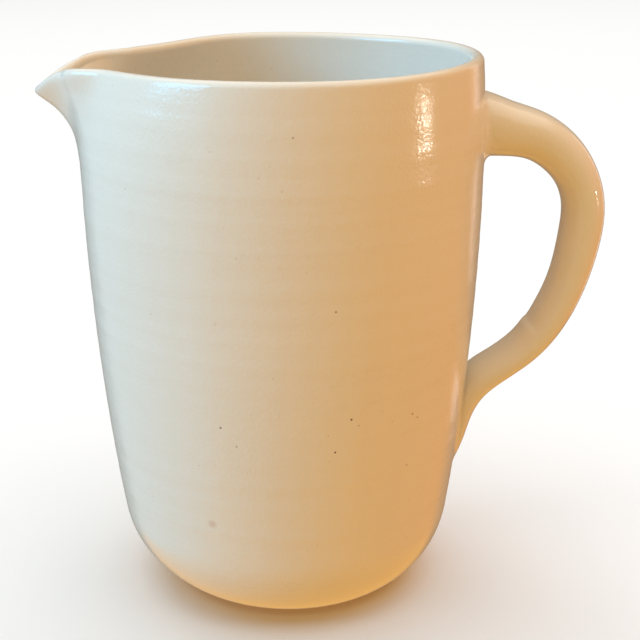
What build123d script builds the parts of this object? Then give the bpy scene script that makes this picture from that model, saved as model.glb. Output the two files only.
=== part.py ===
from build123d import *
import math
import os

# A wheel-thrown stoneware pitcher with a pulled spout and a pulled strap handle.
#
# Millimetres. +Z is up and the origin is the centre of the foot, on the surface the pitcher
# stands on. The handle stands along +X, the spout pours along -X, and the XZ plane is the
# plane of symmetry.
#
# It is joined from four pieces of clay: the thrown body with its spout, the handle, and the
# two pads of joining slip between the handle's ends and the wall.

# Thrown body. The wall's profile is three arcs: shoulder, wall and rounded-under corner.
HEIGHT = 203.0  # table to lip
BELLY_RADIUS = 73.3  # outside, at the widest
BELLY_HEIGHT = 168.0
SHOULDER_ARC = 420.0
WALL_ARC = 980.0
CORNER_ARC = 38.5
CORNER_HEIGHT = 30.0
WALL = 4.9  # thickness at the belly
INNER_WALL_ARC = 880.0  # tighter than outside, so the wall thickens downwards
INNER_CORNER_ARC = 38.0
INNER_CORNER_HEIGHT = 40.0
FLOOR_TOP = 9.0
FOOT_RING = 5.5  # width of the ring that the pitcher stands on
FOOT_RECESS = 2.5  # depth of the hollow trimmed inside the ring
FOOT_SIDE_ANGLE = 35.0  # lean of the hollow's side

# Spout: a broad root and a narrow tongue, pulled out of the rim between two pressed flanks
TONGUE_REACH = 8.2  # how far each stands out of the wall at the lip
ROOT_REACH = 8.0
TONGUE_ANGLE = 5.5  # half width of each, in degrees about the axis
ROOT_ANGLE = 22.5
TONGUE_SPREAD = 0.25  # degrees that the tongue widens in each millimetre below the lip
SPOUT_FADE = 7.5  # the reach falls by a factor of e in about this height
SPOUT_SOFT = 2.5  # just under the lip the fall starts over this height
CHANNEL_RISE = 1.8  # the channel inside the spout follows this much higher than its underside
PRESS = 5.6
PRESS_ANGLE = 42.0  # between the middle of the spout and the deepest press
PRESS_SPREAD = 18.0

# Lip: level round the rim, falling to the tip of the spout
LIP_ROUND = 1.6
TONGUE_FALL = 5.6  # falls of the lip at the tongue and at the root, with their half widths
TONGUE_FALL_ANGLE = 4.8
ROOT_FALL = 3.2
ROOT_FALL_ANGLE = 12.5
LIP_DEPTH = 2.4  # from the top of the lip to where the outside turns over into it
DROOP_START = -60.0  # X where the cut that forms the lip starts to fall
DROOP_ARC = 41.0
DROOP_ANGLE = 42.0
LIP_LOWEST = 185.0  # below every edge of the lip, the tip's included

# Heights of the level sections: above the bottom, and up the spout
CORNER_LEVELS = [0, 0.6, 2, 4.5, 8, 13, 19, 26, 35, 48, 66, 90]
SPOUT_LEVELS = [125, 142, 153, 162, 169, 175, 180, 184, 187.5, 190.5, 193.5, 197, 201, 206]

# Handle: X, Z, heading below the horizontal in degrees, thickness and width of its section,
# from inside the wall at the top to the end of the smeared tail
STRAP = [
    (62, 179.0, 5, 27, 33),
    (73.5, 177.2, 11, 23.6, 29.5),
    (82, 175, 13, 20.2, 28),
    (92.3, 171.8, 25, 18, 26.5),
    (101.2, 166, 42, 16.4, 26),
    (108, 157.6, 62, 15.3, 26),
    (111.5, 146.3, 84, 15, 26),
    (111.1, 132.1, 98, 14.2, 26),
    (107.6, 116.8, 108, 12.9, 26),
    (101.6, 102.2, 121, 11.8, 26),
    (92.6, 90.6, 136, 11, 25.5),
    (82, 82, 141, 11, 25),
    (73.4, 74.2, 125, 11.4, 24.5),
    (69, 65, 106, 9, 22.8),
    (67, 54.5, 100, 6.2, 19.5),
    (65.2, 44, 100, 3.4, 13.5),
]
SLIP = 0.8  # thickness of the joining slip
SLIP_SPLIT = 130.0  # height between the two joints

BEYOND = 140.0  # how far cutting shapes run past the pitcher


def round_radius(height, belly, wall_arc, corner_height, corner_arc):
    """Radius of the round wall at a height, on its three tangent arcs."""
    if height >= BELLY_HEIGHT:
        return belly - SHOULDER_ARC + math.sqrt(SHOULDER_ARC**2 - (height - BELLY_HEIGHT) ** 2)
    if height >= corner_height:
        return belly - wall_arc + math.sqrt(wall_arc**2 - (BELLY_HEIGHT - height) ** 2)
    slope = math.asin((BELLY_HEIGHT - corner_height) / wall_arc)
    centre_radius = belly - wall_arc + (wall_arc - corner_arc) * math.cos(slope)
    centre_height = corner_height + corner_arc * math.sin(slope)
    return centre_radius + math.sqrt(corner_arc**2 - (centre_height - height) ** 2)


def bell(x):
    return math.exp(-0.5 * x**2)


def section(height, radius, channel_rise):
    """Points round one level section: the round wall, the spout and the pressed flanks."""
    raised = max(0.0, (height - SPOUT_LEVELS[0]) / (HEIGHT - SPOUT_LEVELS[0]))
    points = []
    for step in range(-20, 20):
        off = math.copysign(180 * abs(step / 20) ** 1.7, step)
        fall = TONGUE_FALL * bell(off / TONGUE_FALL_ANGLE) + ROOT_FALL * bell(off / ROOT_FALL_ANGLE)
        below = max(0.0, HEIGHT - LIP_DEPTH - fall + channel_rise - height)
        flare = math.exp(-(below**2) / (SPOUT_FADE * (below + SPOUT_SOFT)))
        tongue = TONGUE_REACH * bell(off / (TONGUE_ANGLE + TONGUE_SPREAD * below))
        root = ROOT_REACH * math.exp(-((off / ROOT_ANGLE) ** 6))
        press = PRESS * raised**3 * bell((abs(off) - PRESS_ANGLE) / PRESS_SPREAD)
        out = radius + (tongue + root) * flare - press
        turn = math.radians(180 + off)
        points.append((out * math.cos(turn), out * math.sin(turn)))
    return points


def vessel(bottom, belly, wall_arc, corner_height, corner_arc, channel_rise=0.0):
    """Solid of the pitcher's filled shape from a bottom height to above the lip."""
    with BuildPart() as form:
        for height in [bottom + rise for rise in CORNER_LEVELS] + SPOUT_LEVELS:
            radius = round_radius(height, belly, wall_arc, corner_height, corner_arc)
            with BuildSketch(Plane.XY.offset(height)):
                with BuildLine():
                    Spline(*section(height, radius, channel_rise), periodic=True)
                make_face()
        loft()
    return form.part


outside = vessel(0, BELLY_RADIUS, WALL_ARC, CORNER_HEIGHT, CORNER_ARC)
inside = vessel(
    FLOOR_TOP,
    BELLY_RADIUS - WALL,
    INNER_WALL_ARC,
    INNER_CORNER_HEIGHT,
    INNER_CORNER_ARC,
    CHANNEL_RISE,
)

# Thrown body: floor, wall and spout, with the lip cut level and falling along the spout
with BuildPart() as thrown_body:
    add(outside)
    add(inside, mode=Mode.SUBTRACT)
    with BuildSketch(Plane.XZ):
        with BuildLine():
            level = Line((BEYOND, HEIGHT), (DROOP_START, HEIGHT))
            bend = JernArc(level @ 1, level % 1, DROOP_ARC, DROOP_ANGLE)
            fall = Line(bend @ 1, bend @ 1 + (bend % 1) * BEYOND / 2)
            Polyline(fall @ 1, (-BEYOND, 2 * HEIGHT), (BEYOND, 2 * HEIGHT), level @ 0)
        make_face()
    extrude(amount=BEYOND, both=True, mode=Mode.SUBTRACT)
    lip = edges().filter_by_position(Axis.Z, LIP_LOWEST, HEIGHT).filter_by(GeomType.LINE, reverse=True)
    fillet(lip, LIP_ROUND)

    # The hollow trimmed inside the foot ring, with a sloping side
    foot_radius = round_radius(0, BELLY_RADIUS, WALL_ARC, CORNER_HEIGHT, CORNER_ARC)
    with BuildSketch():
        Circle(foot_radius - FOOT_RING)
    extrude(amount=FOOT_RECESS, taper=FOOT_SIDE_ANGLE, mode=Mode.SUBTRACT)
thrown_body.part.label = "thrown_body"

# Pulled strap: lens sections along its path, from inside the wall at the top, out and round,
# and down the wall in the smeared tail
with BuildPart() as strap:
    for x, z, heading, thickness, width in STRAP:
        down = math.radians(heading)
        along = (math.cos(down), 0, -math.sin(down))
        across = (math.sin(down), 0, math.cos(down))
        with BuildSketch(Plane(origin=(x, 0, z), x_dir=across, z_dir=along)):
            Ellipse(thickness / 2, width / 2)
    loft()

# Handle: the strap outside the wall and its slip
outside_with_slip = vessel(0, BELLY_RADIUS + SLIP, WALL_ARC, CORNER_HEIGHT, CORNER_ARC)
with BuildPart() as handle:
    add(strap.part)
    add(outside_with_slip, mode=Mode.SUBTRACT)
handle.part.label = "handle"

# Joining slip: the strap's ends where they pass through the layer on the wall
with BuildPart() as slip:
    add(strap.part)
    add(outside_with_slip, mode=Mode.INTERSECT)
    add(outside, mode=Mode.SUBTRACT)
with BuildPart() as upper_slip_joint:
    add(slip.part)
    split(bisect_by=Plane.XY.offset(SLIP_SPLIT), keep=Keep.TOP)
upper_slip_joint.part.label = "upper_slip_joint"
with BuildPart() as lower_slip_joint:
    add(slip.part)
    split(bisect_by=Plane.XY.offset(SLIP_SPLIT), keep=Keep.BOTTOM)
lower_slip_joint.part.label = "lower_slip_joint"

os.makedirs("parts", exist_ok=True)
for piece in (thrown_body, handle, upper_slip_joint, lower_slip_joint):
    export_step(piece.part, f"parts/{piece.part.label}.step")
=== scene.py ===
import math

import bmesh
import bpy
import numpy as np
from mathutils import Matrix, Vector
from mathutils.bvhtree import BVHTree


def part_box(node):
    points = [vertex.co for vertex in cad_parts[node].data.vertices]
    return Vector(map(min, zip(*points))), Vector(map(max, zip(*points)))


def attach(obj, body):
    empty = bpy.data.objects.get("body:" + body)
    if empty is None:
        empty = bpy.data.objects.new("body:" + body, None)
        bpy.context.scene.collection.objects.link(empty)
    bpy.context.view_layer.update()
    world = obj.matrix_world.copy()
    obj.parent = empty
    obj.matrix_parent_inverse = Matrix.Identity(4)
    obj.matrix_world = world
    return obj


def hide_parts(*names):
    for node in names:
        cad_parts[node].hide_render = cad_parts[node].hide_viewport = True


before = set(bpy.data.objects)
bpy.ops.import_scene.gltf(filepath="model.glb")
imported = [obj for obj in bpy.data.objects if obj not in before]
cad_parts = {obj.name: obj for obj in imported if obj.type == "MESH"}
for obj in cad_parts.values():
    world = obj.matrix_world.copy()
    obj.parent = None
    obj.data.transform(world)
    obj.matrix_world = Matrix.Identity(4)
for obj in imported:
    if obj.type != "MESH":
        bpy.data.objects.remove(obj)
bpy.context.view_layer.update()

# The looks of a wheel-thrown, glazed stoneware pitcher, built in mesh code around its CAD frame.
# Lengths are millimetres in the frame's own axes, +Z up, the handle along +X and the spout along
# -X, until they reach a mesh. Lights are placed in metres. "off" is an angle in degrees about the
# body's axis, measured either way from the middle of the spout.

MM = 0.001

# Sizes taken from the frame: the top corner of the thrown body's box
body_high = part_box("thrown_body")[1]
HEIGHT = body_high.z / MM
BELLY_RADIUS = body_high.y / MM

# The wall: three tangent arcs outside, and the same inside
BELLY_HEIGHT = 168.0
SHOULDER_ARC = 420.0
OUTER = {"belly": BELLY_RADIUS, "wall_arc": 980.0, "corner_height": 30.0, "corner_arc": 38.5}
WALL = 4.9  # thickness at the belly
INNER = {"belly": BELLY_RADIUS - WALL, "wall_arc": 880.0, "corner_height": 40.0, "corner_arc": 38.0}
WOBBLE = 0.18  # how far the wall is out of round

# The floor and the foot ring
FLOOR_TOP = 9.0  # at the foot of the inside wall
FLOOR_DIP = 0.9  # from there down to the middle
FLOOR_TURN = 46.0  # height at which the inside wall starts to turn in
FOOT_RING = 5.5  # width
FOOT_RECESS = 2.4  # depth of the hollow trimmed inside the ring
FOOT_EDGE = 0.6  # height to which the ring's outer edge is rounded
FOOT_WEAR = 0.55  # the same for its inner edge
FOOT_SLOPE = 3.6  # how far in the side of the hollow runs
BASE_SHIFT = 1.5  # the base sits this far off the wall's axis, towards the handle
BASE_SHIFT_HEIGHT = 12.0

# The spout: a broad root and a narrow tongue between two pressed flanks
TONGUE_REACH = 8.2  # how far each stands out of the wall at the lip
ROOT_REACH = 8.0
TONGUE_ANGLE = 5.5  # half width of each
ROOT_ANGLE = 22.5
TONGUE_SPREAD = 0.25  # degrees that the tongue widens in each millimetre below the lip
SPOUT_FADE = 7.3  # the reach falls by a factor of e in about this height
SPOUT_SOFT = 2.5  # just under the lip the fall starts over this height
PRESS = 5.6
PRESS_ANGLE = 42.0  # between the middle of the spout and the deepest press
PRESS_SPREAD = 18.0
PRESS_BASE = 125.0  # height at which the presses start
FAR_PRESS = 2.2  # how much deeper the far flank is pressed
FAR_SPREAD = 14.0
CREASE_ANGLE = 12.5  # thumb's groove at each end of the tongue
CREASE_DEPTH = 1.0
CREASE_SPREAD = 1.8
CREASE_FADE = 4.0

# The lip: a half round that falls to the spout's tip
LIP = 4.7  # thickness
LIP_CREST = 202.6
LIP_BLEND = 14.0  # height in which the wall comes to the lip's thickness
LIP_UNEVEN = 0.2  # it rises and falls this much, in this many waves
LIP_WAVES = 4
LIP_WAVE_START = 75.0
TONGUE_FALL = 7.0
TONGUE_FALL_ANGLE = 4.8
SHOULDER_FALL = 3.2
SHOULDER_FALL_ANGLE = 12.5

# Throwing rings: depth, pitch, and where their unevenness starts
COARSE_RINGS = (0.045, 9.5, 0.7)
FINE_RINGS = (0.025, 4.1, 1.9)
INNER_RINGS = (0.25, 8.0, 2.9)

# Throwing marks that stand alone: height, how proud of the wall, half width
LONE_RINGS = [
    (156.5, -0.08, 2.4),
    (147.5, 0.08, 0.9),
    (134.0, 0.08, 1.3),
    (116.0, -0.06, 2.0),
    (63.0, 0.07, 0.8),
    (59.0, -0.07, 0.9),
    (42.5, 0.06, 1.0),
]

COLUMNS = 308  # around the body
CROWDING = 1.35  # above 1 the columns crowd together at the spout
OUTER_ROWS = 111  # from the foot up to LEVEL
UPPER_ROWS = 50  # from LEVEL up to the lip, outside and inside
LIP_ROWS = 16
INNER_ROWS = 32  # from LEVEL down to FLOOR_TURN
TURN_ROWS = 16  # from FLOOR_TURN down to the floor
TINY = 0.05  # step for measuring slopes
CHANNEL_PASSES = 30  # smoothing that keeps the inside of the spout from folding over itself
LEVEL = 150.0  # where the wall's lower rows hand over to the ones that follow the lip


def bell(x):
    """Bell curve: 1 at 0, and near 0 past 3 either way."""
    return np.exp(-0.5 * x**2)


def round_radius(z, belly, wall_arc, corner_height, corner_arc):
    """Radius of the round wall at heights z, on its three tangent arcs."""
    rise = z - BELLY_HEIGHT
    shoulder = belly - SHOULDER_ARC + np.sqrt(SHOULDER_ARC**2 - np.maximum(rise, 0) ** 2)
    wall = belly - wall_arc + np.sqrt(wall_arc**2 - np.maximum(-rise, 0) ** 2)
    slope = math.asin((BELLY_HEIGHT - corner_height) / wall_arc)
    centre_radius = belly - wall_arc + (wall_arc - corner_arc) * math.cos(slope)
    below = np.clip(corner_height + corner_arc * math.sin(slope) - z, 0, corner_arc)
    corner = centre_radius + np.sqrt(corner_arc**2 - below**2)
    return np.where(z >= BELLY_HEIGHT, shoulder, np.where(z >= corner_height, wall, corner))


def lip_base(off):
    """Height at which the outside of the wall turns over into the lip."""
    fall = TONGUE_FALL * bell(off / TONGUE_FALL_ANGLE) + SHOULDER_FALL * bell(off / SHOULDER_FALL_ANGLE)
    uneven = LIP_UNEVEN * np.cos(np.radians(LIP_WAVES * (off - LIP_WAVE_START)))
    return LIP_CREST + uneven - fall - LIP / 2


def raised(z):
    """Share of the way from where the presses start up to the lip, and a little past it."""
    return np.clip((z - PRESS_BASE) / (HEIGHT - PRESS_BASE), 0, 1.1)


def spout_shape(off, z):
    """What the spout and its pressed flanks add to the wall's radius."""
    below = np.maximum(0.0, lip_base(off) - z)
    flare = np.exp(-(below**2) / (SPOUT_FADE * (below + SPOUT_SOFT)))
    tongue = TONGUE_REACH * bell(off / (TONGUE_ANGLE + TONGUE_SPREAD * below))
    root = ROOT_REACH * np.exp(-((off / ROOT_ANGLE) ** 6))
    press = PRESS * raised(z) ** 3 * bell((off - PRESS_ANGLE) / PRESS_SPREAD)
    return (tongue + root) * flare - press


def thumb_crease(off, z):
    """Groove pressed into the outside at each end of the tongue, fading down from the lip."""
    below = np.maximum(0.0, lip_base(off) - z)
    return CREASE_DEPTH * bell((off - CREASE_ANGLE) / CREASE_SPREAD) * np.exp(-below / CREASE_FADE)


def throwing_rings(angle, z, depth, pitch, seed):
    """Ridges that spiral up the wall, kept uneven by waves that don't fall in step with them."""
    turns = z / pitch + angle / (2 * math.pi)
    uneven = 0.55 + 0.45 * np.sin(z / (pitch * 2.7) + seed) * np.cos(z / (pitch * 1.63) + 2.1 * seed)
    ridge = np.sin(2 * math.pi * turns + 1.3 * np.sin(z / (pitch * 1.9) + seed))
    return depth * uneven * ridge


def outer_marks(angle, z):
    """Throwing rings of the outside wall, fading out at the foot and at the lip."""
    marks = throwing_rings(angle, z, *COARSE_RINGS) + throwing_rings(angle, z, *FINE_RINGS)
    marks = marks * np.clip((z - 12) / 25, 0, 1) * np.clip((201 - z) / 8, 0, 1)
    for height, proud, width in LONE_RINGS:
        drift = 1.2 * np.sin(angle + height)
        fade = 0.65 + 0.35 * np.sin(2 * angle + height * 0.7)
        marks = marks + proud * fade * bell((z - height - drift) / width)
    return marks


def wobble(angle, z):
    """Slow out-of-round movement of a hand-thrown wall, its far flank pressed the deeper."""
    slow = np.sin(2 * angle + 0.8 + z * 0.004) + 0.5 * np.sin(3 * angle + 2.0 - z * 0.011)
    far_flank = bell((np.degrees(angle) % 360 - 180 + PRESS_ANGLE) / FAR_SPREAD)
    return WOBBLE * slow * np.clip(z / 60.0, 0, 1) - FAR_PRESS * raised(z) ** 3 * far_flank


def smooth_radius(angle, off, z):
    """Outside radius of the body without the marks left in its surface."""
    return round_radius(z, **OUTER) + spout_shape(off, z) + wobble(angle, z)


def outer_radius(angle, off, z):
    """Outside radius of the body with its throwing marks and creases."""
    return smooth_radius(angle, off, z) + outer_marks(angle, z) - thumb_crease(off, z)


def base_shift(z):
    """How far towards the handle the body has moved off its axis at heights z."""
    return BASE_SHIFT * bell(z / BASE_SHIFT_HEIGHT)


def finish_mesh(name, points, faces):
    """Mesh object from millimetre points, with its faces turned outwards."""
    mesh = bpy.data.meshes.new(name)
    mesh.from_pydata([(x * MM, y * MM, z * MM) for x, y, z in points], [], faces)
    work = bmesh.new()
    work.from_mesh(mesh)
    bmesh.ops.recalc_face_normals(work, faces=work.faces)
    work.to_mesh(mesh)
    work.free()
    mesh.validate()
    mesh.shade_smooth()
    piece = bpy.data.objects.new(name, mesh)
    bpy.context.scene.collection.objects.link(piece)
    return piece


def tube_faces(row_count, column_count, closed=False):
    """Quads of a tube of rows; a closed one joins its last row to its first."""
    faces = []
    for r in range(row_count if closed else row_count - 1):
        a, b = r * column_count, (r + 1) % row_count * column_count
        for c in range(column_count):
            d = (c + 1) % column_count
            faces.append((a + c, a + d, b + d, b + c))
    return faces


def capped_tube(name, rows, first, last):
    """Closed tube mesh from rows of points, ending on a single point at each end."""
    row_count, column_count = rows.shape[:2]
    points = rows.reshape(-1, 3).tolist() + [tuple(first), tuple(last)]
    faces = tube_faces(row_count, column_count)
    top, end, base = len(points) - 2, len(points) - 1, (row_count - 1) * column_count
    faces += [(top, (c + 1) % column_count, c) for c in range(column_count)]
    faces += [(end, base + c, base + (c + 1) % column_count) for c in range(column_count)]
    return finish_mesh(name, points, faces)


def relaxed(rows, passes):
    """Rows of points evened out across the rows, with the first and last row left in place."""
    for _ in range(passes):
        rows[1:-1] = (rows[:-2] + 2 * rows[1:-1] + rows[2:]) / 4
    return rows


def make_body():
    """The thrown body, row by row from under the foot, up the outside and down the inside."""
    half = COLUMNS // 2
    steps = np.arange(-half, half)
    off_signed = np.sign(steps) * 180 * (np.abs(steps) / half) ** CROWDING
    angle = np.radians(180 + off_signed)
    off = np.abs(off_signed)
    lip_z = lip_base(off)
    rows = []

    def ring(radius, z):
        radius = np.broadcast_to(radius, angle.shape)
        z = np.broadcast_to(z, angle.shape)
        x = radius * np.cos(angle) + base_shift(z)
        rows.append(np.stack([x, radius * np.sin(angle), z], 1))

    # Underneath: the trimmed hollow and the foot ring
    foot = float(round_radius(np.array(FOOT_EDGE), **OUTER))
    inside = foot - FOOT_RING
    for radius in np.linspace(3.0, inside - 4.5, 14):
        turning_mark = 0.06 * math.sin(radius * 2.2)
        ring(radius, FOOT_RECESS + turning_mark)
    for t in np.linspace(0, 1, 8):
        ring(inside - FOOT_SLOPE * (1 - t) ** 1.3, FOOT_RECESS * (1 - t**1.6) + FOOT_WEAR * t**4)
    for t in np.linspace(0.15, 1, 6):
        worn = math.sin(t * math.pi / 2)
        ring(inside + 0.8 * worn, FOOT_WEAR * (1 - worn))
    for inward, z in ((3.3, 0.0), (1.8, 0.0), (0.9, 0.05), (0.3, 0.25)):
        ring(foot - inward, z)

    # Outside
    for z in FOOT_EDGE + (LEVEL - FOOT_EDGE) * np.linspace(0, 1, OUTER_ROWS)[:-1] ** 1.08:
        ring(outer_radius(angle, off, np.full_like(angle, z)), z)
    rise = np.linspace(0, 1, UPPER_ROWS)
    for t in rise:
        z = LEVEL + (lip_z - LEVEL) * t
        ring(outer_radius(angle, off, z), z)
    end = smooth_radius(angle, off, lip_z)
    lean = np.arctan((end - smooth_radius(angle, off, lip_z - TINY)) / TINY)
    crease = thumb_crease(off, lip_z)

    # Lip: half round from the outside over to the inside
    middle = end - np.cos(lean) * LIP / 2
    middle_z = lip_z + np.sin(lean) * LIP / 2
    for turn in np.linspace(0, math.pi, LIP_ROWS)[1:-1]:
        out, up = math.cos(turn) * LIP / 2, math.sin(turn) * LIP / 2
        ring(
            middle + np.cos(lean) * out + np.sin(lean) * up - crease * math.cos(turn / 2) ** 2,
            middle_z - np.sin(lean) * out + np.cos(lean) * up,
        )

    # Inside, measured square to the outer wall, down to where the floor turns in
    def inner_point(z):
        radius = smooth_radius(angle, off, z)
        lean = np.arctan((radius - smooth_radius(angle, off, z - TINY)) / TINY)
        wall = round_radius(z, **OUTER) - round_radius(z, **INNER)
        lip_share = np.clip(1 - (lip_z - z) / LIP_BLEND, 0, 1)
        wall = wall + (LIP - wall) * lip_share**2 * (3 - 2 * lip_share)
        lean = lean * np.clip((z - 60) / 30, 0, 1)
        rings = throwing_rings(angle, z, *INNER_RINGS) * np.clip((196 - z) / 20, 0, 1)
        return radius - wall * np.cos(lean) + rings, z + wall * np.sin(lean)

    upper = [np.stack(inner_point(LEVEL + (lip_z - LEVEL) * t)) for t in rise[::-1]]
    for radius, z in relaxed(np.array(upper), CHANNEL_PASSES):
        ring(radius, z)
    for z in np.linspace(LEVEL, FLOOR_TURN, INNER_ROWS)[1:]:
        ring(*inner_point(np.full_like(angle, z)))
    for z in FLOOR_TOP + (FLOOR_TURN - FLOOR_TOP) * np.linspace(1, 0, TURN_ROWS)[1:] ** 1.7:
        rings = throwing_rings(angle, z, *INNER_RINGS) * min(1, (z - FLOOR_TOP) / 15)
        ring(round_radius(np.array(z), **INNER) + rings + wobble(angle, z), z)
    edge = float(round_radius(np.array(FLOOR_TOP), **INNER))
    for t in np.linspace(0.93, 0.08, 10):
        ring(edge * t, FLOOR_TOP - FLOOR_DIP * (1 - t**2) + 0.2 * math.sin(t * 16))
    first = (BASE_SHIFT, 0, FOOT_RECESS)
    last = (base_shift(FLOOR_TOP), 0, FLOOR_TOP - FLOOR_DIP)
    return capped_tube("thrown_body_glazed", np.array(rows), first, last)


# Handle: X, Z, thickness and width of the strap's sections, from inside the wall at the top
# to the end of the tail that is smeared down the wall
STRAP = [
    (66.0, 177.4, 24.6, 31.0),
    (73.4, 176.4, 23.2, 29.8),
    (81.6, 174.8, 20.1, 28.0),
    (92.3, 172.0, 17.8, 26.5),
    (101.3, 166.2, 16.9, 26.0),
    (108.0, 157.6, 15.6, 26.0),
    (111.6, 146.3, 14.9, 26.0),
    (110.9, 132.1, 14.4, 26.0),
    (107.5, 116.8, 13.0, 26.0),
    (101.3, 102.4, 12.0, 26.0),
    (92.5, 90.7, 10.8, 25.5),
    (81.7, 82.3, 10.5, 25.0),
    (72.9, 75.0, 11.2, 24.5),
    (68.9, 65.8, 8.7, 23.0),
    (66.9, 54.6, 5.9, 19.5),
    (64.4, 43.0, 2.2, 12.0),
]
STRAP_ROWS = 330
STRAP_COLUMNS = 96
OVAL_POWER = 2.25  # 2 is an ellipse, more is fuller at the corners
THUMB_STEP = 113.0  # along the strap, where a thumb left a low step across its inner face
STEP_HEIGHT = 0.4
SWAY = 0.25  # how far the strap strays from the middle plane
EMBED = 3.2  # depth of the strap's ends in the wall, which is thicker than this


def smooth_through(values, knots, at):
    """Natural cubic spline through values at their knots, read at other places."""
    count = len(knots)
    gap = np.diff(knots)
    rise = np.diff(values) / gap
    left = np.zeros((count, count))
    right = np.zeros(count)
    left[0, 0] = left[-1, -1] = 1
    for k in range(1, count - 1):
        left[k, k - 1 : k + 2] = gap[k - 1], 2 * (gap[k - 1] + gap[k]), gap[k]
        right[k] = 3 * (rise[k] - rise[k - 1])
    curve = np.linalg.solve(left, right)
    k = np.clip(np.searchsorted(knots, at, side="right") - 1, 0, count - 2)
    t = at - knots[k]
    slope = rise[k] - gap[k] * (2 * curve[k] + curve[k + 1]) / 3
    cubic = (curve[k + 1] - curve[k]) / (3 * gap[k])
    return values[k] + slope * t + curve[k] * t**2 + cubic * t**3


def wall_radius_at(points):
    """Outside radius of the body in the direction and at the height of each point."""
    x, y, z = np.moveaxis(points, -1, 0)
    angle = np.arctan2(y, x)
    off = np.abs((np.degrees(angle) % 360) - 180)
    return outer_radius(angle, off, z)


def strap_surface():
    """Points of the whole strap, rows along it and columns around it."""
    table = np.array(STRAP)
    knots = np.concatenate([[0], np.cumsum(np.hypot(*np.diff(table[:, :2], axis=0).T))])
    at = np.linspace(0, knots[-1], STRAP_ROWS)
    x, z, thick, wide = (smooth_through(table[:, k], knots, at) for k in range(4))
    along_x, along_z = np.gradient(x, at), np.gradient(z, at)
    size = np.hypot(along_x, along_z)
    out_x, out_z = -along_z / size, along_x / size

    turn = np.linspace(0, 2 * math.pi, STRAP_COLUMNS, endpoint=False)
    across = np.sign(np.cos(turn)) * np.abs(np.cos(turn)) ** (2 / OVAL_POWER)
    through = np.sign(np.sin(turn)) * np.abs(np.sin(turn)) ** (2 / OVAL_POWER)
    half_t = thick[:, None] / 2 * through[None, :]
    half_w = wide[:, None] / 2 * across[None, :]
    # Long shallow grooves and swellings left by the pulling hand
    pull = 0.12 * np.sin(3 * turn + 0.6)[None, :] * np.sin(at / 23.0 + 1)[:, None]
    pull = pull + 0.10 * np.sin(5 * turn + 1.9)[None, :] * np.cos(at / 31.0)[:, None]
    half_t = half_t * (1 + pull / 8)
    half_w = half_w * (1 + pull / 13)
    # The thumb's step
    inner_face = np.clip(-through, 0, 1)[None, :] ** 2
    step = STEP_HEIGHT * np.tanh((at - THUMB_STEP) / 0.9) * bell((at - THUMB_STEP) / 4.0)
    half_t = half_t - step[:, None] * inner_face
    px = x[:, None] + out_x[:, None] * half_t
    pz = z[:, None] + out_z[:, None] * half_t
    py = half_w + SWAY * np.sin(at / 40.0)[:, None]
    points = np.stack([px, py, pz], 2)

    # The ends stay inside the thickness of the wall
    radius = np.hypot(px, py)
    grow = np.maximum(radius, wall_radius_at(points) - EMBED) / radius
    points[..., :2] *= grow[..., None]
    return points


def make_handle(points):
    """The strap as one closed piece."""
    return capped_tube("handle_glazed", points, points[0].mean(0), points[-1].mean(0))


FILLET_COLUMNS = 200  # along each fillet of slip
FILLET_RIB = 13  # points across it
FILLET_PULL = 0.62  # how far each rib's ends reach for the corner: more is a tighter curve
FILLET_SINK = 0.03  # depth of its edges in the clay on both sides
FILLET_ROOT = 0.9  # depth of its hidden side


def smooth_loop(values, passes):
    """A closed loop's values, evened out with their neighbours'."""
    for _ in range(passes):
        values = (np.roll(values, 1, 0) + 2 * values + np.roll(values, -1, 0)) / 4
    return values


def even_loop(points, count):
    """A closed loop's points, spaced evenly along it."""
    closed = np.vstack([points, points[:1]])
    reach = np.concatenate([[0], np.cumsum(np.linalg.norm(np.diff(closed, axis=0), axis=1))])
    at = np.linspace(0, reach[-1], count, endpoint=False)
    return np.stack([np.interp(at, reach, closed[:, k]) for k in range(3)], 1)


def unit(vectors):
    """The vectors, each made one long."""
    return vectors / np.linalg.norm(vectors, axis=1)[:, None]


def wall_normal(points):
    """Outward unit normals of the body's outside at points on it."""
    step = 0.2
    base = np.hypot(points[:, 0], points[:, 1]) - wall_radius_at(points)
    slopes = []
    for k in range(3):
        moved = points.copy()
        moved[:, k] += step
        slopes.append(np.hypot(moved[:, 0], moved[:, 1]) - wall_radius_at(moved) - base)
    return unit(np.stack(slopes, 1))


def without(vectors, directions):
    """What is left of the vectors square to the unit directions."""
    return vectors - (vectors * directions).sum(1)[:, None] * directions


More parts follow.
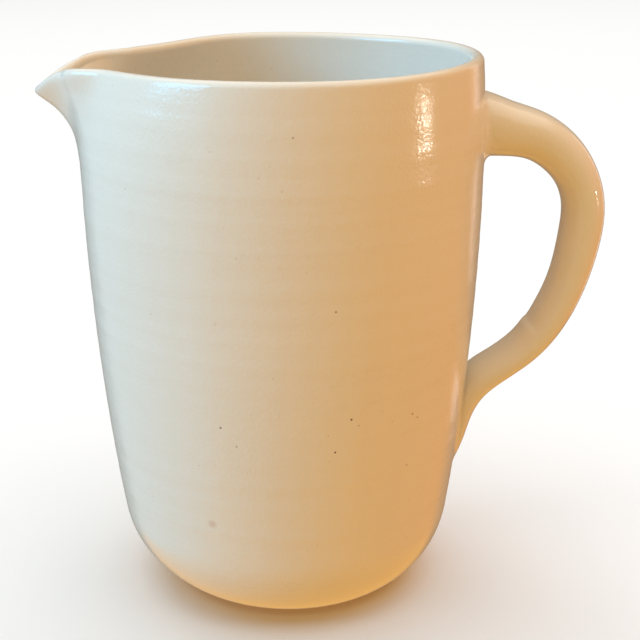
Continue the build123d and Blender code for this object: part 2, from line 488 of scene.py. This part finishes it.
def make_slip(name, strap, handle, blend_size):
    """Fillet of slip in the corner between strap and wall, along the line where they meet.

    strap holds the strap's rows in order from inside the wall outwards; blend_size gives the
    fillet's reach in millimetres from the direction that the strap's surface faces.
    """
    proud = np.hypot(strap[..., 0], strap[..., 1]) - wall_radius_at(strap)
    crossing = []
    for column in range(strap.shape[1]):
        row = int(np.argmax(proud[:, column] > 0))
        before, after = proud[row - 1, column], proud[row, column]
        share = before / (before - after)
        crossing.append(strap[row - 1, column] * (1 - share) + strap[row, column] * share)
    line = smooth_loop(even_loop(np.array(crossing), FILLET_COLUMNS), 6)

    tree = BVHTree.FromObject(handle, bpy.context.evaluated_depsgraph_get())
    facing = np.array([tree.find_nearest(Vector(p) * MM)[1] for p in line])
    facing = unit(smooth_loop(facing, 6))
    normal = wall_normal(line)
    up_strap = unit(without(normal, facing))
    along_wall = unit(without(facing, normal))
    reach = smooth_loop(blend_size(facing, line), 8)[:, None]
    found = [tree.find_nearest(Vector(p) * MM) for p in line + up_strap * reach]
    on_strap = np.array([hit[0] for hit in found]) / MM
    strap_facing = unit(smooth_loop(np.array([hit[1] for hit in found]), 3))
    on_wall = line + along_wall * reach
    on_wall[:, :2] *= (wall_radius_at(on_wall) / np.hypot(on_wall[:, 0], on_wall[:, 1]))[:, None]
    wall_facing = wall_normal(on_wall)

    # Each rib leaves both surfaces along them, and its ends are sunk a hair into them
    strap_pull = on_strap + FILLET_PULL * without(line - on_strap, strap_facing)
    wall_pull = on_wall + FILLET_PULL * without(line - on_wall, wall_facing)
    rows = []
    for t in np.linspace(0, 1, FILLET_RIB):
        rib = on_strap * (1 - t) ** 3 + on_wall * t**3
        rib = rib + 3 * t * (1 - t) * (strap_pull * (1 - t) + wall_pull * t)
        sink = FILLET_SINK * (2 * t - 1) ** 4
        rows.append(rib - sink * (strap_facing * (1 - t) + wall_facing * t))
    rows.append(line - unit(normal + facing) * FILLET_ROOT)
    points = np.concatenate(rows).tolist()
    return finish_mesh(name, points, tube_faces(len(rows), len(line), closed=True))


def upper_blend(facing, line):
    """Wiped out broadly at the lower corners, and a bare crease on top of the strap."""
    side = np.abs(facing[:, 1])
    below = np.clip(-facing[:, 2], 0, 1)
    return 0.5 + 2.6 * side**1.5 + 13.0 * (side * below) ** 2 + 1.8 * below**4


def lower_blend(facing, line):
    """A tight corner over the strap, opening down the sides of the tail."""
    tail = np.clip((80.0 - line[:, 2]) / 35.0, 0, 1)
    return 0.6 + 0.9 * np.abs(facing[:, 1]) * tail + 2.0 * tail**3


# Camera: place, how far it looks down, and how far it is turned about its own line of sight
CAMERA_PLACE = (0.0, -463.1, 260.1)
CAMERA_DOWN = 18.8
CAMERA_ROLL = -0.671


def aim(thing, target):
    """Turn a light to face a target."""
    thing.rotation_euler = (Vector(target) - thing.location).to_track_quat("-Z", "Y").to_euler()


def collect(name, members):
    """Collection that says which objects a light reaches."""
    group = bpy.data.collections.new(name)
    for member in members:
        group.objects.link(member)
    return group


def area_light(receivers, name, location, target, size, power, colour):
    """Soft rectangular light that reaches only the receivers. Metres and watts."""
    light = bpy.data.lights.new(name, "AREA")
    light.shape = "RECTANGLE"
    light.size, light.size_y = size
    light.energy = power
    light.color = colour
    holder = bpy.data.objects.new(name, light)
    bpy.context.scene.collection.objects.link(holder)
    holder.location = location
    aim(holder, target)
    holder.light_linking.receiver_collection = receivers
    holder.visible_camera = False


def make_camera():
    """Above the rim and a little off the optical centre, looking along +Y."""
    data = bpy.data.cameras.new("camera")
    data.sensor_width = 36.0
    data.lens = 71.8
    data.shift_x = 0.0562
    data.shift_y = -0.0035
    camera = bpy.data.objects.new("camera", data)
    bpy.context.scene.collection.objects.link(camera)
    camera.location = Vector(CAMERA_PLACE) * MM
    camera.rotation_euler = (math.radians(90 - CAMERA_DOWN), 0.0, 0.0)
    camera.rotation_euler.rotate_axis("Z", math.radians(CAMERA_ROLL))
    bpy.context.scene.camera = camera


# ---- Materials


class Nodes:
    """Short way to write a material's nodes: sockets take a value or another node's output."""

    def __init__(self, name):
        self.material = bpy.data.materials.new(name)
        self.material.use_nodes = True
        self.tree = self.material.node_tree
        self.shader = self.tree.nodes["Principled BSDF"]

    def add(self, kind, sockets, output=0, **settings):
        made = self.tree.nodes.new("ShaderNode" + kind)
        for setting, value in settings.items():
            setattr(made, setting, value)
        self.fill(made, sockets)
        return made.outputs[output]

    def fill(self, made, sockets):
        for socket, value in sockets.items():
            if isinstance(value, bpy.types.NodeSocket):
                self.tree.links.new(value, made.inputs[socket])
            else:
                made.inputs[socket].default_value = value

    def noise(self, where, scale, detail, roughness):
        return self.add(
            "TexNoise", {"Vector": where, "Scale": scale, "Detail": detail, "Roughness": roughness}
        )

    def stretch(self, where, scale):
        return self.add("VectorMath", {0: where, 1: scale}, operation="MULTIPLY")

    def math(self, operation, a, b=0.0, c=0.0):
        return self.add("Math", {0: a, 1: b, 2: c}, operation=operation)

    def span(self, value, low, high, to_low=0.0, to_high=1.0):
        sockets = {"Value": value, "From Min": low, "From Max": high, "To Min": to_low, "To Max": to_high}
        return self.add("MapRange", sockets, interpolation_type="SMOOTHSTEP")

    def mix(self, factor, first, second):
        sockets = {"Factor": factor, 6: first, 7: second}
        return self.add("Mix", sockets, output=2, data_type="RGBA")


# Colours, and sizes of textures as waves or cells in a metre
GLAZE = (0.80, 0.755, 0.655, 1.0)
GLAZE_THICK = (0.84, 0.81, 0.725, 1.0)
GLAZE_THIN = (0.735, 0.655, 0.53, 1.0)
IRON = (0.17, 0.085, 0.045, 1.0)
BLUSH = (0.58, 0.43, 0.33, 1.0)
CLOUDS = 17.0
MOTTLE = 240.0
GRAIN = 1150.0
BANDS = (5.0, 5.0, 330.0)
WIDE_BANDS = (2.5, 2.5, 70.0)
WHEEL_LINES = (9.0, 9.0, 900.0)
PEPPER = 270.0
PEEL = 820.0
DENTS = 95.0
SAND = 1400.0
STAIN = 45.0
GROG = 420.0

# How much each texture says about whether the glaze is thick or thin
CLOUD_SHARE = 0.55
BAND_SHARE = 0.34
WIDE_BAND_SHARE = 0.40
MOTTLE_SHARE = 0.42
GRAIN_SHARE = 0.62
EVEN_GLAZE = 0.02  # this far either side of the middle the glaze is neither
FULL_GLAZE = 0.42  # this far away it is as thick or as thin as it gets
GLASS_IOR = 1.52


def on_wall(turn, z):
    """Point on the body's outside at height z, turn degrees about the axis from the handle."""
    angle = math.radians(turn)
    radius = float(outer_radius(angle, abs(turn % 360 - 180), z))
    return radius * math.cos(angle), radius * math.sin(angle), z


# Iron specks and a fainter blush on the body: the centre of each, its radius, and how dark it is
BODY_SPECKS = [
    (on_wall(-108.3, 85.9), 0.42, 0.7),
    (on_wall(-71.3, 88.3), 0.42, 0.9),
    (on_wall(-69.0, 85.5), 0.27, 0.6),
    (on_wall(-50.4, 84.8), 0.37, 0.7),
    (on_wall(-48.2, 82.7), 0.37, 0.5),
    (on_wall(-75.8, 76.5), 0.36, 1.0),
    (on_wall(-103.9, 79.3), 0.35, 0.5),
    (on_wall(-50.7, 64.8), 0.34, 0.45),
    (on_wall(-76.5, 128.1), 0.39, 0.6),
    (on_wall(-87.3, 185.7), 0.35, 0.5),
]
BODY_BLUSHES = [(on_wall(-113.4, 46.4), 1.4, 0.5)]


def spotted(n, where, colour, spots, tint, softness):
    """Colour with round spots of a tint laid over it."""
    for centre, radius, strength in spots:
        sockets = {0: where, 1: Vector(centre) * MM}
        apart = n.add("VectorMath", sockets, output="Value", operation="DISTANCE")
        inner, outer = radius * MM * (1 - softness), radius * MM * (1 + softness)
        cover = n.span(apart, inner, outer, strength, 0.0)
        colour = n.mix(cover, colour, tint)
    return colour


def glaze(name, specks=(), blushes=(), rings=0.0):
    """Glossy cream glaze over a speckled buff body; rings sets how much the wheel shows in it."""
    n = Nodes(name)
    where = n.add("TexCoord", {}, output="Object")
    height = n.add("SeparateXYZ", {0: where}, output=2)

    cloud = n.noise(where, CLOUDS, 3.0, 0.55)
    mottle = n.noise(where, MOTTLE, 4.0, 0.62)
    grain = n.noise(where, GRAIN, 2.0, 0.7)
    band = n.noise(n.stretch(where, BANDS), 1.0, 3.0, 0.6)
    wide_band = n.noise(n.stretch(where, WIDE_BANDS), 1.0, 2.0, 0.5)

    # Thick and thin glaze: slow clouds, wheel bands, mottling and the grain of the body under it
    thick = n.math("MULTIPLY", cloud, CLOUD_SHARE)
    thick = n.math("MULTIPLY_ADD", band, BAND_SHARE * rings, thick)
    thick = n.math("MULTIPLY_ADD", wide_band, WIDE_BAND_SHARE * rings, thick)
    thick = n.math("MULTIPLY_ADD", mottle, MOTTLE_SHARE, thick)
    thick = n.math("MULTIPLY_ADD", grain, GRAIN_SHARE, thick)
    shares = CLOUD_SHARE + (BAND_SHARE + WIDE_BAND_SHARE) * rings + MOTTLE_SHARE + GRAIN_SHARE
    usual = shares / 2
    thin_share = n.span(thick, usual - FULL_GLAZE, usual - EVEN_GLAZE, 1.0, 0.0)
    thick_share = n.span(thick, usual + EVEN_GLAZE, usual + FULL_GLAZE)
    colour = n.mix(n.math("MULTIPLY", thin_share, 0.62), GLAZE, GLAZE_THIN)
    colour = n.mix(n.math("MULTIPLY", thick_share, 0.60), colour, GLAZE_THICK)
    colour = spotted(n, where, colour, blushes, BLUSH, 0.8)
    colour = spotted(n, where, colour, specks, IRON, 0.35)

    # Pinholes and pepper-fine iron, a few to each square centimetre
    cells = n.add("TexVoronoi", {"Vector": where, "Scale": PEPPER}, output="Distance")
    chance = n.add("TexVoronoi", {"Vector": where, "Scale": PEPPER}, output="Color")
    rare = n.span(n.add("SeparateColor", {0: chance}), 0.90, 0.905)
    pepper = n.math("MULTIPLY", n.span(cells, 0.05, 0.13, 1.0, 0.0), rare)
    colour = n.mix(n.math("MULTIPLY", pepper, 0.42), colour, BLUSH)

    # Surface, in millimetres: orange peel, dents, pinholes, and fine wheel lines that are stronger
    # where the foot was trimmed
    peel = n.noise(where, PEEL, 2.0, 0.5)
    dents = n.noise(where, DENTS, 2.0, 0.5)
    lines = n.noise(n.stretch(where, WHEEL_LINES), 1.0, 2.0, 0.6)
    near_foot = n.span(height, 12 * MM, 70 * MM, 1.0, 0.22)
    relief = n.math("MULTIPLY", peel, 0.085)
    relief = n.math("MULTIPLY_ADD", dents, 0.11, relief)
    relief = n.math("MULTIPLY_ADD", n.math("MULTIPLY", lines, near_foot), 0.055 * rings, relief)
    relief = n.math("MULTIPLY_ADD", pepper, -0.03, relief)
    bump = n.add("Bump", {"Strength": 1.0, "Distance": MM, "Height": relief})

    rough = n.math("MULTIPLY_ADD", mottle, 0.10, 0.08)
    rough = n.math("MULTIPLY_ADD", band, 0.05 * rings, rough)
    n.fill(n.shader, {"Base Color": colour, "Roughness": rough, "Normal": bump, "IOR": GLASS_IOR})
    return n.material


def bare_clay():
    """Unglazed buff stoneware with sand in it, turned with a trimming tool."""
    n = Nodes("bare_clay")
    where = n.add("TexCoord", {}, output="Object")
    sand = n.noise(where, SAND, 3.0, 0.7)
    stain = n.noise(where, STAIN, 3.0, 0.6)
    colour = n.mix(sand, (0.40, 0.29, 0.19, 1), (0.56, 0.44, 0.32, 1))
    colour = n.mix(n.math("MULTIPLY", stain, 0.5), colour, (0.52, 0.38, 0.25, 1))
    cells = n.add("TexVoronoi", {"Vector": where, "Scale": GROG}, output="Distance")
    grog = n.span(cells, 0.1, 0.3, 1.0, 0.0)
    relief = n.math("MULTIPLY_ADD", grog, 0.04, n.math("MULTIPLY", sand, 0.08))
    bump = n.add("Bump", {"Strength": 1.0, "Distance": MM, "Height": relief})
    rough = n.math("MULTIPLY_ADD", sand, 0.15, 0.75)
    n.fill(n.shader, {"Base Color": colour, "Roughness": rough, "Normal": bump})
    return n.material


def floor_material():
    """Plain, matt and pale."""
    n = Nodes("floor")
    n.fill(n.shader, {"Base Color": (0.92, 0.92, 0.91, 1), "Roughness": 0.8})
    return n.material


# ---- The object

BARE_TOP = 2.8  # bare clay reaches this high inside the foot ring
BARE_EDGE = 0.3  # and this high on the ring itself

make_camera()

body = make_body()
body.data.materials.append(glaze("body_glaze", BODY_SPECKS, BODY_BLUSHES, rings=1.0))
body.data.materials.append(bare_clay())
for polygon in body.data.polygons:
    height = polygon.center.z / MM
    if height < BARE_TOP and (polygon.normal.z < -0.3 or height < BARE_EDGE):
        polygon.material_index = 1
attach(body, "root")
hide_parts("thrown_body")

strap = strap_surface()
handle = make_handle(strap)
handle.data.materials.append(glaze("handle_glaze"))
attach(handle, "root")
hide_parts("handle")

half_way = STRAP_ROWS // 2
slip_glaze = glaze("slip_glaze")
upper_slip = make_slip("upper_slip_glazed", strap[:half_way], handle, upper_blend)
upper_slip.data.materials.append(slip_glaze)
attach(upper_slip, "root")
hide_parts("upper_slip_joint")

lower_slip = make_slip("lower_slip_glazed", strap[:half_way:-1], handle, lower_blend)
lower_slip.data.materials.append(slip_glaze)
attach(lower_slip, "root")
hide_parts("lower_slip_joint")

# ---- Floor and light

# Metres and watts. The pitcher stands in a tent of six soft panels, with a cool window to the left
# of it and a small bulb and a narrow strip on the right. The floor has a light of its own, so that
# it stays pale, and takes no part in lighting the pitcher.
FLOOR_SIDE = 16.0
TENT_SIDE = 3.0
TENT = [  # name, way from the middle, power, colour
    ("tent_left", (-1, 0, 0), 15.5, (1.0, 1.0, 0.95)),
    ("tent_right", (1, 0, 0), 19, (1.0, 0.35, 0.02)),
    ("tent_front", (0, -1, 0), 16, (1.0, 0.57, 0.08)),
    ("tent_back", (0, 1, 0), 5, (1.0, 0.78, 0.54)),
    ("tent_top", (0, 0, 1), 40, (1.0, 0.86, 0.70)),
    ("tent_bottom", (0, 0, -1), 26, (1.0, 0.50, 0.08)),
]
TENT_MIDDLE = Vector((0, 0, 0.11))
LAMPS = [  # name, place, target, size, power, colour
    ("window", (-1.34, -0.44, 0.76), (0, 0, 0.19), (0.95, 0.70), 19.5, (0.12, 0.56, 1.0)),
    ("bulb", (0.935, -0.152, 0.085), (0.05, -0.05, 0.17), (0.026, 0.045), 0.55, (1.0, 0.92, 0.82)),
    ("strip", (0.72, 0.69, 0.05), TENT_MIDDLE, (0.16, 0.9), 0.45, (1.0, 0.86, 0.82)),
]
FLOOR_LAMP = ("floor_light", (0, 1.2, 5.0), (0, 1.2, 0), (8.0, 8.0), 480, (1.0, 1.0, 1.0))
BACKDROP = 0.85  # strength of the world where the camera sees it past the floor
WORLD_FILL = 0.08  # and for everything else


def make_world():
    """White, pale where the camera sees it past the floor, and only a faint fill for the rest."""
    world = bpy.data.worlds.new("world")
    bpy.context.scene.world = world
    world.use_nodes = True
    tree = world.node_tree
    backdrop = tree.nodes["Background"]
    backdrop.inputs["Color"].default_value = (1.0, 1.0, 1.0, 1)
    ray = tree.nodes.new("ShaderNodeLightPath")
    strength = tree.nodes.new("ShaderNodeMath")
    strength.operation = "MULTIPLY_ADD"
    strength.inputs[1].default_value = BACKDROP - WORLD_FILL
    strength.inputs[2].default_value = WORLD_FILL
    tree.links.new(ray.outputs["Is Camera Ray"], strength.inputs[0])
    tree.links.new(strength.outputs[0], backdrop.inputs["Strength"])


bpy.ops.mesh.primitive_plane_add(size=FLOOR_SIDE, location=(0, 0, 0))
floor = bpy.context.object
floor.name = "floor"
floor.data.materials.append(floor_material())

floor.visible_diffuse = False
floor.visible_glossy = False
floor.visible_shadow = False
pitcher = collect("pitcher", [body, handle, upper_slip, lower_slip])
stage = collect("stage", [floor])
for name, way, power, colour in TENT:
    place = TENT_MIDDLE + Vector(way) * TENT_SIDE / 2
    area_light(pitcher, name, place, TENT_MIDDLE, (TENT_SIDE, TENT_SIDE), power, colour)
for lamp in LAMPS:
    area_light(pitcher, *lamp)
area_light(stage, *FLOOR_LAMP)

make_world()
bpy.context.scene.view_settings.view_transform = "Standard"
